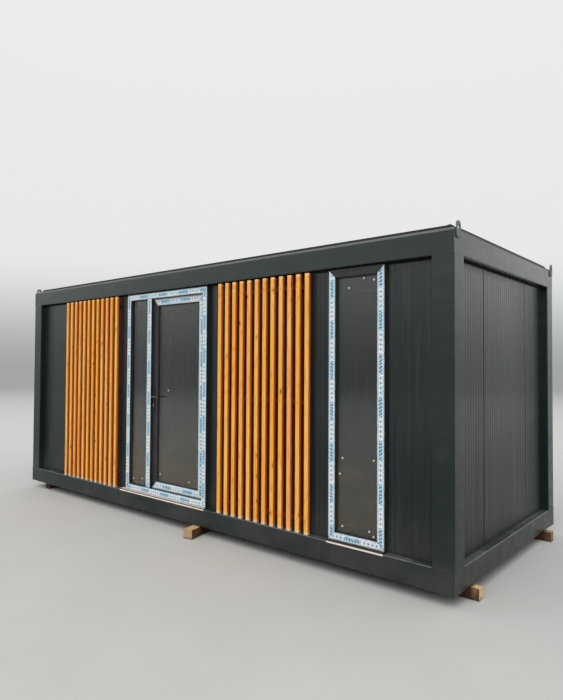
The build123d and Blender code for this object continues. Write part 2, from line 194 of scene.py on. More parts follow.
class Finish(Nodes):
    """A procedural material; place, x, y and z are its Object coordinates."""

    def __init__(self, name):
        self.material = bpy.data.materials.new(name)
        self.material.use_nodes = True
        super().__init__(self.material.node_tree)
        self.shader = self.tree.nodes["Principled BSDF"]
        self.place = self.out("TexCoord", output="Object")
        self.x, self.y, self.z = self.split(self.place)

    def give(self, name, value):
        self.feed(self.shader.inputs[name], value)

    def facing(self):
        return self.split(self.out("NewGeometry", output="Normal"))

    def attribute(self, name, output="Fac"):
        return self.out("Attribute", output=output, attribute_name=name)

    def stretched(self, place, scale):
        return self.out("Mapping", {"Vector": place, "Scale": scale})

    def cloud(self, place, scale, detail=4, rough=0.55, twist=0.0):
        """Noise. Its scale is one number, or one for each axis."""
        if isinstance(scale, tuple):
            place, scale = self.stretched(place, scale), 1.0
        inputs = {"Vector": place, "Scale": scale, "Detail": detail, "Roughness": rough, "Distortion": twist}
        return self.out("TexNoise", inputs, "Fac")

    def rough(self, factor, low, high):
        inputs = {"Value": factor, "To Min": low, "To Max": high}
        self.give("Roughness", self.out("MapRange", inputs))

    def relief(self, height, distance, under=None):
        inputs = {"Height": height, "Distance": distance}
        if under is not None:
            inputs["Normal"] = under
        bump = self.out("Bump", inputs)
        self.give("Normal", bump)
        return bump

    def done(self, tone, rough, relief):
        """Gives the last looks: the tone, the roughness as (noise, low, high) and the relief as (height, distance)."""
        self.give("Base Color", tone)
        self.rough(*rough)
        self.relief(*relief)
        return self.material

    def mix_in(self, share, other):
        """Shows another shader through this one's."""
        mixed = self.out("MixShader", {0: share, 1: self.shader.outputs[0], 2: other})
        self.feed(self.tree.nodes["Material Output"].inputs["Surface"], mixed)


# Materials


def weathered(f, paint, dust, runs_share, runs_scale):
    """Paint with road dust that thickens towards the ground, dried runs of rain and a few specks."""
    runs = f.cloud(f.place, runs_scale, 5)
    low_dust = f.z.ease(0.70, 0.08) * f.cloud(f.place, 1.3, 6, 0.62).ease(0.36, 0.64)
    amount = (low_dust * 0.30 + runs.ease(0.52, 0.74) * runs_share).clamped()
    specks = f.cloud(f.place, 95.0, 2).ease(0.69, 0.76)
    amount = (amount + specks * 0.16).clamped()
    f.give("Base Color", f.blend(amount, paint, dust))
    dull = runs.ease(0.35, 0.75) * 0.16 + amount * 0.30
    gloss = f.shader.inputs["Roughness"].links[0].from_socket
    f.give("Roughness", (dull + gloss).clamped())


def sheen(f, top, foot):
    """Wet-looking gloss that road splashes dull towards the ground."""
    f.give("Specular IOR Level", 0.16)
    f.give("Coat Roughness", 0.08)
    coat = (f.z.ease(0.80, 1.75) * (1.0 - splashed_coat) + splashed_coat) * paint_coat
    f.give("Coat Weight", coat)
    f.give("Roughness", f.out("MapRange", {
        "Value": f.z, "From Min": 0.1, "From Max": 2.5, "To Min": foot, "To Max": top}))
    return coat


def steel_paint(name, shade, fold_highlight_share=0.62):
    """Anthracite paint on folded steel: orange peel, shallow waves in the sheet,
    dust and a painted reflection on upward faces, and a painted highlight along the rounded folds.
    """
    f = Finish(name)
    up = f.facing()[2]
    # Upward flat faces are painted lighter: dust, and a painted reflection on the ledges
    flat_dust_and_reflection = up.ease(0.90, 0.99) * f.cloud(f.place, 5.0).ease(0.35, 0.65)
    # Rounded folds are painted lighter still: a painted highlight where they catch the sky
    fold_highlight = up.between(0.45, 0.93, 0.10) * f.cloud(f.place, 9.0, 5).ease(0.22, 0.55)
    dust_and_highlight = f.blend((flat_dust_and_reflection * 0.34 + fold_highlight * fold_highlight_share).clamped(), shade, (0.27, 0.285, 0.285))
    sheen(f, 0.20, 0.34)
    weathered(f, dust_and_highlight, (0.100, 0.094, 0.080), 0.07, (7, 7, 11))
    waves = f.relief(f.cloud(f.place, (1.6, 1.6, 5.0), 2), 0.003)
    f.give("Coat Normal", f.relief(f.cloud(f.place, 240.0, 2), 0.00022, waves))
    return f.material


def panel_paint(name, across, joints=(), slat_bounce_spans=()):
    """Coated sheet of a sandwich panel: fine upright ripple outside, a plain lining inside the room.
    Its grooves carry painted shade; behind the slats the sheet is painted dark red-brown, a painted bounce light."""
    f = Finish(name)
    along = f.x if across == "x" else f.y
    groove_shade = along.calc("PINGPONG", rib_pitch / 2).ease(rib_half_width * 0.4, rib_half_width)
    ripple = along.calc("PINGPONG", rib_pitch / 8).ease(0.0006, 0.0056)
    inside = (abs(f.x) < room_half_length) * (abs(f.y) < room_half_width)
    outside = 1.0 - inside
    coat = outside * sheen(f, 0.13, 0.36)
    # The grooves are painted darker: painted shade in the ribs' hollows
    shaded = f.blend(groove_shade * 0.35 + 0.65, (0.004, 0.006, 0.006), panel_shade)
    for joint in joints:
        seam = abs(along - joint).ease(panel_chamfer * 1.5, panel_chamfer)
        shaded = f.blend(seam, shaded, (0.002, 0.002, 0.002))
    for low, high in slat_bounce_spans:
        # Behind the slats the sheet is painted dark red-brown, a painted bounce light, and loses its coat
        behind = f.x.between(low.x + 0.012, high.x - 0.020, 0.012) * (f.y < 0.0)
        shaded = f.blend(behind * 0.95, shaded, slat_bounce_tone)
        coat = coat * (1.0 - behind)
    f.give("Coat Weight", coat)
    weathered(f, f.blend(inside, shaded, lining), (0.110, 0.103, 0.086), 0.13, (26, 26, 0.7))
    sheet = f.relief(f.cloud(f.place, (3.5, 3.5, 0.8), 3), 0.004)
    f.give("Coat Normal", f.relief(ripple * outside, 0.0004, sheet))
    return f.material


def roof_metal(name):
    """Plain roof sheet with lapped joints, rain marks and dust lying on it."""
    f = Finish(name)
    puddles = f.cloud(f.place, (1.1, 1.9, 1), 8, 0.66)
    dusty = f.layers(
        (0.15, 0.155, 0.155),
        (puddles.ease(0.36, 0.72), 0.55, (0.225, 0.215, 0.195)),
        (puddles.between(0.50, 0.512, 0.006), 0.16, (0.29, 0.28, 0.25)),
        (f.cloud(f.place, 30.0).ease(0.5, 0.8), 0.35, (0.080, 0.080, 0.075)),
    )
    lap = f.x.calc("PINGPONG", 0.5).ease(0.0, 0.009)
    return f.done(f.blend(lap, (0.05, 0.05, 0.05), dusty), (puddles, 0.35, 0.65), (f.cloud(f.place, 3.0, 2), 0.004))


def ceiling_sheet(name):
    """Plain matt lining of the ceiling, with a joint every metre."""
    f = Finish(name)
    joint = f.x.calc("PINGPONG", 0.5).ease(0.001, 0.003)
    grime = f.cloud(f.place, 2.2, 6)
    plain = f.blend(grime.ease(0.40, 0.75), lining, (0.045, 0.044, 0.040))
    return f.done(f.blend(joint, (0.012, 0.012, 0.012), plain), (grime, 0.55, 0.75), (joint, 0.001))


def slat_timber(name, slats):
    """Planed pine under a honey-coloured woodstain: each slat has its own tone, figure and knots.
    Its sides carry painted shade and its ends a painted highlight.
    """
    f = Finish(name)
    pitch = slat_pitch(slats)
    index = ((f.x - (slats[0].x - (pitch - slat_width) / 2)) / pitch).calc("FLOOR")
    pick = f.put("TexWhiteNoise", {"W": index}, noise_dimensions="1D").outputs
    own = f.out("VectorMath", {0: pick["Color"], "Scale": 23.0}, operation="SCALE")
    local = f.out("VectorMath", {0: f.place, 1: own}, operation="ADD")
    figure = f.cloud(local, (13, 13, 0.9), 2, 0.5, 0.4)
    late = (figure * 11.0).calc("PINGPONG", 0.5).ease(0.3, 0.5)
    fibres = f.cloud(local, (210, 210, 3.0), 3)
    cells = f.put("TexVoronoi", {"Vector": f.stretched(local, (15, 15, 7.5)), "Scale": 1.0}).outputs
    chance = f.split(cells["Color"], "SeparateColor")[0]
    chosen = chance > 0.45
    spot = chance * 0.05 + cells["Distance"]
    pink = f.split(pick["Color"], "SeparateColor")[1]
    tone = f.layers(
        f.blend(pick["Value"], (0.97, 0.500, 0.085), (0.93, 0.360, 0.042)),
        (pink.ease(0.45, 0.95), 0.9, (0.97, 0.375, 0.145)),
        (f.cloud(local, (5, 5, 0.8), 3).ease(0.42, 0.72), 1.0, (0.97, 0.52, 0.125)),
        (late, 0.50, (0.68, 0.20, 0.018)),
        (fibres.ease(0.35, 0.75), 0.30, (0.70, 0.25, 0.030)),
        (f.cloud(local, (60, 60, 1.1), 2).ease(0.62, 0.72), 0.65, (0.50, 0.13, 0.014)),
        # Painted shade: the slats' sides are dark red-brown, most of all near the wall
        (abs(f.facing()[0]).ease(0.40, 0.90), f.y.ease(left_slats[0].y, left_slats[1].y) * 0.55 + 0.35,
         (0.440, 0.060, 0.002)),
        (spot.ease(0.38, 0.14) * chosen, 0.55, (0.56, 0.17, 0.025)),
        (spot.ease(0.165, 0.125) * chosen, 0.80, (0.19, 0.055, 0.012)),
        # The bands at the slats' ends are paler: raw sawn wood, and a painted highlight where the ends catch the light
        ((f.z.ease(0.300, 0.264) + f.z.ease(2.418, 2.444)).clamped(), 0.5, (0.96, 0.70, 0.42)),
    )
    f.give("Specular IOR Level", 0.16)
    return f.done(tone, (fibres, 0.42, 0.66), (fibres, 0.0004, f.relief(late, 0.0005)))


def sawn_timber(name):
    """Rough sawn softwood blocks: pale cut ends, dirty sides and tops painted paler, a painted highlight.
    A painted shadow darkens them where the cabin covers them; they are darker near the ground,
    and each block is darkened by its own amount, for damp and painted shade.
    """
    f = Finish(name)
    along = f.attribute("block_grain", "Vector")
    damp_and_shade = f.attribute("block_tone")
    grain = f.cloud(along, (8, 75, 75), 5, 0.6, 0.5)
    worn = grain.ease(0.35, 0.7)
    blotches = f.cloud(along, 24.0)
    smears = f.cloud(along, (16, 42, 42), 4, 0.6)
    rings = f.out("TexWave", {
        "Vector": f.stretched(along, (0.25, 1, 1)), "Scale": 26.0, "Distortion": 4.0, "Detail": 3.0},
        "Fac", wave_type="RINGS", rings_direction="X")
    sawn = f.layers((0.82, 0.60, 0.33), (rings, 0.5, (0.42, 0.25, 0.10)),
                    (blotches.ease(0.52, 0.66), 0.5, (0.22, 0.125, 0.035)))
    damp_and_shade_tone = (0.085, 0.034, 0.014)
    # Upward faces are painted paler: a painted highlight on the tops
    painted_top_light = f.blend(damp_and_shade * damp_and_shade, f.blend(worn, (0.88, 0.60, 0.33), (0.68, 0.40, 0.19)), damp_and_shade_tone)
    # Painted shadow: the blocks are darkened where the cabin covers them
    frame_end, frame_side = 2.995, 1.170
    covered = abs(f.x).ease(frame_end + 0.035, frame_end) * abs(f.y).ease(frame_side + 0.070, frame_side)
    tone = f.layers(
        f.blend(worn, (0.30, 0.165, 0.055), (0.150, 0.076, 0.022)),
        (smears.ease(0.58, 0.40), 0.85, (0.045, 0.022, 0.008)),
        (f.attribute("block_end").ease(0.35, 0.75), 1.0, sawn),
        # Each block is darkened by its own amount: damp, and painted shade
        (damp_and_shade, 1.0, damp_and_shade_tone),
        (f.facing()[2].ease(0.8, 0.98), 0.90, painted_top_light),
        # Painted shadow under the cabin, and darker within 3 cm of the ground
        ((covered * 0.96 + f.z.ease(0.03, 0.0) * 0.6).clamped(), 1.0, (0.040, 0.010, 0.005)),
    )
    return f.done(tone, (blotches, 0.6, 0.9), (grain, 0.0010))


def foil_profile(name):
    """Dark wood-grained foil on window profiles, with dull, paler patches."""
    f = Finish(name)
    grain = f.cloud(f.place, (160, 160, 9))
    haze = f.cloud(f.place, 5.0)
    tone = f.layers((0.0165, 0.0150, 0.0160), (grain.ease(0.4, 0.75), 1.0, (0.030, 0.027, 0.028)),
                    (haze.ease(0.5, 0.75), 0.25, (0.060, 0.056, 0.053)))
    return f.done(tone, (haze, 0.36, 0.6), (grain, 0.0003))


def printed_film(name):
    """Pale protective film with a generic print: bars of slanted hatching, rows of lozenges and edge ticks."""
    f = Finish(name)
    uv = f.out("UVMap", uv_map="film")
    u, v = f.split(uv)[:2]
    run, height = u.calc("MODULO", film_print_pitch), abs(v)
    hatch_run = run.between(0.010, 0.164, 0.001)
    slant = (run + v * 0.55) / 0.0270 + f.cloud(uv, (27, 60, 1), 2) * 1.1
    strokes = (slant.calc("FRACT") > 0.46) * (height < 0.0135) * hatch_run
    off = (run - 0.178).calc("PINGPONG", 0.0185)
    lozenges = (0.0185 - off + height < 0.0115) * run.between(0.178, 0.326, 0.0005)
    rail = height.between(0.0165, 0.0185, 0.0003) * run.between(0.178, 0.326, 0.001)
    tick_row = ((u / 0.0185).calc("FRACT") > 0.55) * height.between(0.0215, 0.0275, 0.0004)
    drift = f.cloud(uv, (3.1, 9, 1), 3)
    tone = f.layers(
        f.blend(drift.ease(0.42, 0.58), (0.63, 0.78, 0.83), (0.80, 0.83, 0.85)),
        (hatch_run, 0.40, (0.50, 0.72, 0.86)),
        (f.cloud(uv, (65, 80, 1), 3).ease(0.48, 0.66), 0.55, (0.20, 0.36, 0.46)),
        (tick_row, 0.75, (0.05, 0.11, 0.20)),
        (height.ease(0.0140, 0.0110) * hatch_run, 0.34, (0.13, 0.40, 0.58)),
        (strokes, 0.88, (0.018, 0.11, 0.24)),
        (rail, 0.45, (0.20, 0.24, 0.36)),
        (lozenges, 0.72, (0.045, 0.090, 0.19)),
        (f.cloud(uv, (11, 23, 1), 5).ease(0.60, 0.80), 0.25, (0.46, 0.46, 0.42)),
    )
    return f.done(tone, (drift, 0.20, 0.42), (f.cloud(uv, (40, 90, 1), 3), 0.0006))


def sill_film(name):
    """Dark sills, with pale film left on their lips and on top of the door's."""
    f = Finish(name)
    drift = f.cloud(f.place, (9, 30, 30))
    film = f.layers((0.78, 0.62, 0.54), (drift.ease(0.35, 0.65), 1.0, (0.88, 0.80, 0.74)),
                    (f.cloud(f.place, 34.0).ease(0.6, 0.75), 0.5, (0.40, 0.30, 0.24)))
    lip_top, lip_back, sill_top, wall_line, door_end = 0.2635, -1.2005, 0.2715, -1.1975, 1.0
    on_lip = (f.z < lip_top) * (f.y < lip_back)
    on_top = (f.z > sill_top) * (f.y > wall_line)
    covered = (on_lip + on_top * (f.x < door_end)).clamped()
    return f.done(f.blend(covered, (0.014, 0.014, 0.015), film), (drift, 0.35, 0.55), (drift, 0.0005))


def window_glass(name):
    """Sealed pane: clear, slightly grey-green, with dried drops and brown spray low down."""
    f = Finish(name)
    drops = f.cloud(f.place, 55.0, 2).ease(0.68, 0.76)
    haze = f.cloud(f.place, (6, 6, 1.2)).ease(0.45, 0.75)
    f.rough(drops * 0.10 + haze * 0.02, 0.0, 0.30)
    f.give("Base Color", (0.72, 0.76, 0.735))
    f.give("Transmission Weight", 1.0)
    f.give("IOR", 1.52)
    patchy = f.cloud(f.place, (2, 2, 7), 5).ease(0.25, 0.75)
    f.mix_in(f.z.ease(1.35, 0.30) * patchy * 0.17, f.out("BsdfDiffuse", {"Color": (0.30, 0.215, 0.115)}))
    return f.material


def deck_board(name):
    """Film-faced plywood deck in boards, with paler scuffed patches."""
    f = Finish(name)
    seam = f.x.calc("PINGPONG", 0.6).ease(0.0, 0.004)
    grain = f.cloud(f.place, (40, 3, 1), 5)
    base = f.layers((0.20, 0.13, 0.075), (grain.ease(0.35, 0.7), 1.0, (0.12, 0.075, 0.04)),
                    (f.cloud(f.place, 6.0, 5).ease(0.55, 0.8), 0.4, (0.30, 0.26, 0.21)))
    return f.done(f.blend(seam, (0.02, 0.015, 0.01), base), (grain, 0.45, 0.7), (seam, 0.001))


def speckled(name, scale, detail, span, tones, rough, height, gloss=0.5, metallic=0.0):
    """A plain finish: one noise gives it its tone between two, its roughness and its relief."""
    f = Finish(name)
    speck = f.cloud(f.place, scale, detail)
    f.give("Specular IOR Level", gloss)
    f.give("Metallic", metallic)
    return f.done(f.blend(speck.ease(*span) if span else speck, *tones), (speck, *rough), (speck, height))


def dull_trim(name, clean, worn, gloss=0.5):
    return speckled(name, 60.0, 4, (0.5, 0.8), (clean, worn), (0.5, 0.8), 0.0006, gloss)


def rubber(name, gloss=0.5):
    tones = ((0.008, 0.008, 0.008), (0.03, 0.03, 0.03))
    return speckled(name, 45.0, 3, (0.5, 0.8), tones, (0.55, 0.8), 0.0002, gloss)


def metal(name, shade, low, high, metallic=1.0):
    tones = (shade, tuple(c * 0.6 for c in shade))
    return speckled(name, (120, 120, 18), 4, (0.4, 0.75), tones, (low, high), 0.0002, metallic=metallic)


frame_paint = steel_paint("frame_paint", anthracite)
front_skin = panel_paint("front_and_back_skin", "x", slat_bounce_spans=(left_slats, right_slats))
end_skin = panel_paint("end_skin", "y", end_joints)
plain_steel = steel_paint("joist_primer", (0.14, 0.145, 0.145))
weld_paint = steel_paint("weld_paint", anthracite, 0.06)
trim_finish = dull_trim("roof_trim_finish", (0.012, 0.012, 0.013), (0.045, 0.043, 0.04))
# The battens are painted the same dark red-brown as the painted bounce light behind the slats
batten_finish = dull_trim("batten_finish", (0.085, 0.0155, 0.0030), (0.110, 0.0280, 0.0050), 0.10)
roof_finish = roof_metal("roof_sheet_finish")
block_timber = sawn_timber("block_timber")
profile_foil = foil_profile("profile_foil")
film_finish = printed_film("printed_film")
gasket_rubber = rubber("gasket_rubber")
# A black strip that stands in for the shadow under the top rails: painted shade
black_sealant = rubber("black_sealant", 0.12)
glass = window_glass("glass")
dark_metal = metal("dark_metal", (0.035, 0.035, 0.037), 0.3, 0.5, 0.6)
bright_metal = metal("bright_metal", (0.62, 0.60, 0.56), 0.18, 0.35)
lug_steel = metal("lug_steel", (0.20, 0.205, 0.20), 0.32, 0.55, 0.75)
lever_metal = metal("lever_metal", (0.17, 0.175, 0.175), 0.28, 0.45, 0.85)
screw_metal = metal("screw_metal", (0.42, 0.24, 0.07), 0.35, 0.55)
spacer_metal = metal("spacer_metal", (0.20, 0.20, 0.20), 0.3, 0.5)
pad_foam = speckled("pad_foam", 500.0, 2, None, ((0.62, 0.60, 0.52), (0.82, 0.80, 0.72)), (0.7, 0.9), 0.0003)

# Every CAD node that stays visible gets its finish: the first start of its name that fits
finishes = {
    "back_wall": front_skin, "front_wall": front_skin, "end_wall": end_skin,
    "ceiling_panel": ceiling_sheet("ceiling_lining"), "head_packers": trim_finish, "roof_sheet": roof_finish,
    "roof_trim": trim_finish, "floor_joists": plain_steel, "floor_deck": deck_board("deck_board"),
    "sills": sill_film("sill_finish"), "slats_left": slat_timber("slat_timber_left", left_slats),
    "slats_right": slat_timber("slat_timber_right", right_slats), "slat_battens": batten_finish,
    "support_blocks": block_timber, "window_frame": profile_foil, "door_leaf": profile_foil,
    "door_frame": profile_foil, "hinge_": dark_metal, "lifting_lugs": lug_steel,
}
for name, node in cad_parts.items():
    finish = next((finishes[start] for start in finishes if name.startswith(start)), frame_paint)
    node.data.materials.clear()
    node.data.materials.append(finish)


# Mesh helpers


def add_object(name, data):
    made = bpy.data.objects.new(name, data)
    scene.collection.objects.link(made)
    return made


def shape_object(name, shape, material):
    """Turns a bmesh into an object with one finish."""
    mesh = bpy.data.meshes.new(name)
    shape.to_mesh(mesh)
    shape.free()
    mesh.materials.append(material)
    return add_object(name, mesh)


def new_piece(name, mesh_maker, material, body="cabin"):
    """Makes one piece, gives it its finish and lets it ride on its body."""
    shape = bmesh.new()
    mesh_maker(shape)
    piece = shape_object(name, shape, material)
    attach(piece, body)
    return piece


def plain_mesh(thing):
    """The mesh that an object gives with its modifiers."""
    return bpy.data.meshes.new_from_object(thing.evaluated_get(bpy.context.evaluated_depsgraph_get()))


def bake(piece):
    """Turns a piece's modifiers into plain mesh."""
    mesh = plain_mesh(piece)
    piece.modifiers.clear()
    piece.data = mesh


def inset_corners(low, high, inset):
    """Two corners in the XZ plane, moved in from those of a frame."""
    return Vector((low.x + inset, 0, low.z + inset)), Vector((high.x - inset, 0, high.z - inset))


def box_mesh(shape, low, high):
    """The eight corners of a box, with its faces."""
    made = bmesh.ops.create_cube(shape, size=1.0)["verts"]
    low, high = Vector(low), Vector(high)
    for vert in made:
        vert.co = vert.co * (high - low) + (high + low) / 2
    return made


def slab(shape, low, high):
    """A plain sheet between two corners, its edges eased by a small bevel."""
    made = box_mesh(shape, low, high)
    edges = [e for e in shape.edges if all(v in made for v in e.verts)]
    eased = min(0.0006, min(Vector(high) - Vector(low)) / 4)
    bmesh.ops.bevel(shape, geom=edges, offset=eased, segments=1, affect="EDGES")


def slab_piece(name, boxes, material, body="cabin"):
    """A piece that is a row of slabs, each given by two corners."""
    def build(shape):
        for low, high in boxes:
            slab(shape, low, high)

    return new_piece(name, build, material, body)


def disc(shape, place, radius, depth, segments, taper=1.0):
    """A round bar that lies across the wall, given by its middle."""
    matrix = Matrix.Translation(place) @ Matrix.Rotation(math.radians(90), 4, "X")
    bmesh.ops.create_cone(shape, cap_ends=True, segments=segments, radius1=radius, radius2=radius * taper,
                          depth=depth, matrix=matrix)


def mend_normals(shape):
    bmesh.ops.recalc_face_normals(shape, faces=shape.faces)


def join_loops(shape, here, after):
    """A band of faces between two closed loops of corners."""
    for k in range(len(here)):
        following = (k + 1) % len(here)
        shape.faces.new((here[k], here[following], after[following], after[k]))


def ring(low, high, profile):
    """Makes a closed frame in the XZ plane, mitred at its corners. Each profile point is (inset, y)."""
    def build(shape):
        loops = []
        for inset, y in profile:
            a, b = inset_corners(low, high, inset)
            loops.append([shape.verts.new((x, y, z)) for x, z in ((a.x, a.z), (b.x, a.z), (b.x, b.z), (a.x, b.z))])
        for i, here in enumerate(loops):
            join_loops(shape, here, loops[(i + 1) % len(loops)])
        mend_normals(shape)

    return build


# Protective film on the profiles


def make_film(name, body, start, along, inward, length, mitres, face_y, width, phase):
    """A strip of film on a profile's face: start is its outer corner, mitres cut its ends at 45 degrees."""
    steps, rows = max(2, int(length / film_step)), 6

    def corner(shape, i, j):
        across = width * j / rows
        low, high = across * mitres[0], length - across * mitres[1]
        run = low + (high - low) * i / steps
        waver = film_waver * noise.noise(Vector((run * 38, j * 3.1, phase))) if j in (0, rows) else 0.0
        puff = max(0.0, noise.noise(Vector((run * 30 + phase, across * 55, 0.5)))) ** 2 * film_puff
        place = start + along * run + inward * (across + waver)
        place.y = face_y - film_lift - puff
        return shape.verts.new(place), (run + phase, across - width / 2)

    def build(shape):
        layer = shape.loops.layers.uv.new("film")
        grid = [[corner(shape, i, j) for j in range(rows + 1)] for i in range(steps + 1)]
        for here, after in zip(grid, grid[1:]):
            for j in range(rows):
                corners = (here[j], after[j], after[j + 1], here[j + 1])
                face = shape.faces.new([c[0] for c in corners])
                for loop, (_, place) in zip(face.loops, corners):
                    loop[layer].uv = place
                face.smooth = True
        shape.normal_update()
        if sum(f.normal.y for f in shape.faces) > 0:
            bmesh.ops.reverse_faces(shape, faces=shape.faces)

    piece = new_piece(name, build, film_finish, body)
    settle(piece.modifiers.new("thickness", "SOLIDIFY"), thickness=film_thickness, offset=1.0)
    bake(piece)


def film_round(name, body, low, high, face_y, sides, width, phase):
    """Film on chosen sides of a rectangular frame, mitred at the corners as the profiles are."""
    low, high = inset_corners(low, high, film_gap)
    size = high - low
    layout = {
        "left": (low, up, right, size.z), "right": (low + right * size.x, up, -right, size.z),
        "bottom": (low, right, up, size.x), "top": (low + up * size.z, right, -up, size.x),
    }
    for number, side in enumerate(sides):
        make_film(f"{name}_{side}", body, *layout[side], (1, 1), face_y, width - 2 * film_gap, phase + 0.137 * number)


# Glazing: two sheets, a spacer between them and rubber gaskets


def glaze(name, body, sight_low, sight_high, outer, inner, plain_pane):
    """Fills one light, given by the corners of its visible part and the depths of its outer and inner face."""
    low, high = inset_corners(sight_low, sight_high, -glass_bite)
    panes = slab_piece(f"{name}_sheets", [
        ((low.x, y, low.z), (high.x, y + pane_thickness, high.z)) for y in (outer, inner - pane_thickness)],
        glass, body)
    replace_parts(panes, plain_pane)
    near, far = outer + pane_thickness + 0.0003, inner - pane_thickness - 0.0003
    wide = spacer_inset + spacer_width
    profile = ((spacer_inset, near), (wide, near), (wide, far), (spacer_inset, far))
    new_piece(f"{name}_spacer", ring(low, high, profile), spacer_metal, body)
    for side, base, rise in (("outer", outer - 0.0002, -gasket_height), ("inner", inner + 0.0002, gasket_height)):
        profile = ((0.0, base), (gasket_width, base), (gasket_width, base + rise * 0.4),
                   (gasket_width * 0.6, base + rise), (0.0, base + rise))
        new_piece(f"{name}_{side}_gasket", ring(sight_low, sight_high, profile), gasket_rubber,
                  body)


window_low, window_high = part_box("window_frame")
panes_low, panes_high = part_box("fixed_panes")
leaf_low, leaf_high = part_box("door_leaf")
leaf_pane_low, leaf_pane_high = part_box("door_pane")
mullion_low, mullion_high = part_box("door_frame_mullion")
jamb_low, jamb_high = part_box("door_frame_left_jamb")
leaf_faces = ((leaf_low.y, -1), (leaf_high.y, 1))

up, right = Vector((0, 0, 1)), Vector((1, 0, 0))
side_high = Vector((mullion_low.x + profile_face, 0, jamb_high.z))
glaze("side_light", "cabin", *inset_corners(jamb_low, side_high, profile_face), panes_low.y, panes_high.y,
      "fixed_panes")
glaze("window", "cabin", *inset_corners(window_low, window_high, profile_face), panes_low.y, panes_high.y,
      "fixed_panes")
glaze("leaf", "door", *inset_corners(leaf_pane_low, leaf_pane_high, glass_bite), leaf_pane_low.y, leaf_pane_high.y,
      "door_pane")

film_round("window_film", "cabin", window_low, window_high, window_low.y, ("left", "bottom", "right"),
           profile_face, 0.05)
film_round("door_unit_film", "cabin", jamb_low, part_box("door_frame_right_jamb")[1], jamb_low.y,
           ("left", "top", "right", "bottom"), profile_face, 0.31)
make_film("mullion_film", "cabin", mullion_low + right * film_gap, up, right, mullion_high.z - mullion_low.z, (0, 0),
          mullion_low.y, mullion_high.x - mullion_low.x - 2 * film_gap, 0.77)
film_round("leaf_film", "door", *inset_corners(leaf_low, leaf_high, sash_cover), leaf_low.y,
           ("top", "right", "bottom"), sash_face - sash_cover, 0.55)


# Small foam pads stuck on the glass, placed from the photograph: the depth of the glass, then each x and z

pad_places = {
    "cabin": (panes_low.y, (
        (2.100, 2.294), (2.240, 2.361), (2.330, 2.341), (2.043, 0.932), (2.331, 0.943), (2.018, 0.804),
        (2.043, 0.391), (2.291, 0.393), (2.330, 0.359), (-0.754, 0.401), (-0.598, 0.418))),
    "door": (leaf_pane_low.y, ((-0.190, 1.397), (-0.312, 0.501), (0.156, 0.476))),
}


def make_pads(body):
    def build(shape):
        y, places = pad_places[body]
        for x, z in places:
            disc(shape, (x, y - pad_thickness / 2 - 0.0002, z), pad_radius, pad_thickness, 16, 0.85)
        mend_normals(shape)

    new_piece(f"glass_pads_{body}", build, pad_foam, body)


make_pads("cabin")
make_pads("door")


# Geometry Nodes: screws in rows, weld beads along lines


class Grower(Nodes):
    """A Geometry Nodes tree with named inputs, each (name, kind)."""
    family = "GeometryNode"

    def __init__(self, name, *sockets):
        super().__init__(bpy.data.node_groups.new(name, "GeometryNodeTree"))
        interface = self.tree.interface
        interface.new_socket("Geometry", in_out="OUTPUT", socket_type="NodeSocketGeometry")
        for label, kind in (*sockets, ("Radius", "Float"), ("Seed", "Int"), ("Material", "Material")):
            interface.new_socket(label, in_out="INPUT", socket_type=f"NodeSocket{kind}")
        self.entry = self.put("NodeGroupInput").outputs
        self.leave = self.put("NodeGroupOutput").inputs

    def vary(self, low, high):
        inputs = {2: low, 3: high, "Seed": self.entry["Seed"]}
        return self.out("FunctionNodeRandomValue", inputs, 1, data_type="FLOAT")

    def close(self, geometry):
        """Every tree ends in Realize Instances and Set Material."""
        real = self.out("RealizeInstances", {"Geometry": geometry})
        done = self.out("SetMaterial", {"Geometry": real, "Material": self.entry["Material"]})
        self.feed(self.leave[0], done)
        return self.tree


def screw_tree(name, facing):
    """Rows of small screw heads; facing turns the heads, which stand up along Z, to their surface."""
    g = Grower(name, ("Start", "Vector"), ("Columns", "Int"), ("Column Step", "Vector"), ("Rows", "Int"),
               ("Row Step", "Vector"))
    entry = g.entry
    radius = Value(g, entry["Radius"])
    head = g.out("MeshCone", {
        "Vertices": 12, "Radius Top": radius * 0.55, "Radius Bottom": radius, "Depth": radius * 0.35}, "Mesh")
    size = g.out("ShaderNodeCombineXYZ", {0: radius * 0.9, 1: radius * 0.18, 2: radius * 0.8})
    recess = g.out("MeshCube", {"Size": size}, "Mesh")
    whole = g.put("JoinGeometry", {0: head})
    g.feed(whole.inputs[0], recess)
    turned = g.out("Transform", {"Geometry": whole.outputs[0], "Rotation": facing})
    row = g.out("MeshLine", {"Count": entry["Columns"], "Offset": entry["Column Step"]}, mode="OFFSET")
    placed = g.out("InstanceOnPoints", {
        "Points": row, "Instance": turned, "Scale": g.vary(0.92, 1.08)})
    column = g.out("MeshLine", {
        "Count": entry["Rows"], "Start Location": entry["Start"], "Offset": entry["Row Step"]}, mode="OFFSET")
    return g.close(g.out("InstanceOnPoints", {"Points": column, "Instance": placed}))


def seam_tree():
    """Sweeps a small round along each line; its radius ripples as a weld's does."""
    g = Grower("weld_seam", ("Geometry", "Geometry"), ("Step", "Float"))
    line = g.out("MeshToCurve", {"Mesh": g.entry["Geometry"]})
    points = g.out("ResampleCurve", {"Curve": line, "Length": g.entry["Step"]}, mode="LENGTH")
    rippled = g.out("SetCurveRadius", {"Curve": points, "Radius": g.vary(0.75, 1.25)})
    bead = g.out("CurvePrimitiveCircle", {"Resolution": 8, "Radius": g.entry["Radius"]})
    return g.close(g.out("CurveToMesh", {"Curve": rippled, "Profile Curve": bead, "Fill Caps": True}))


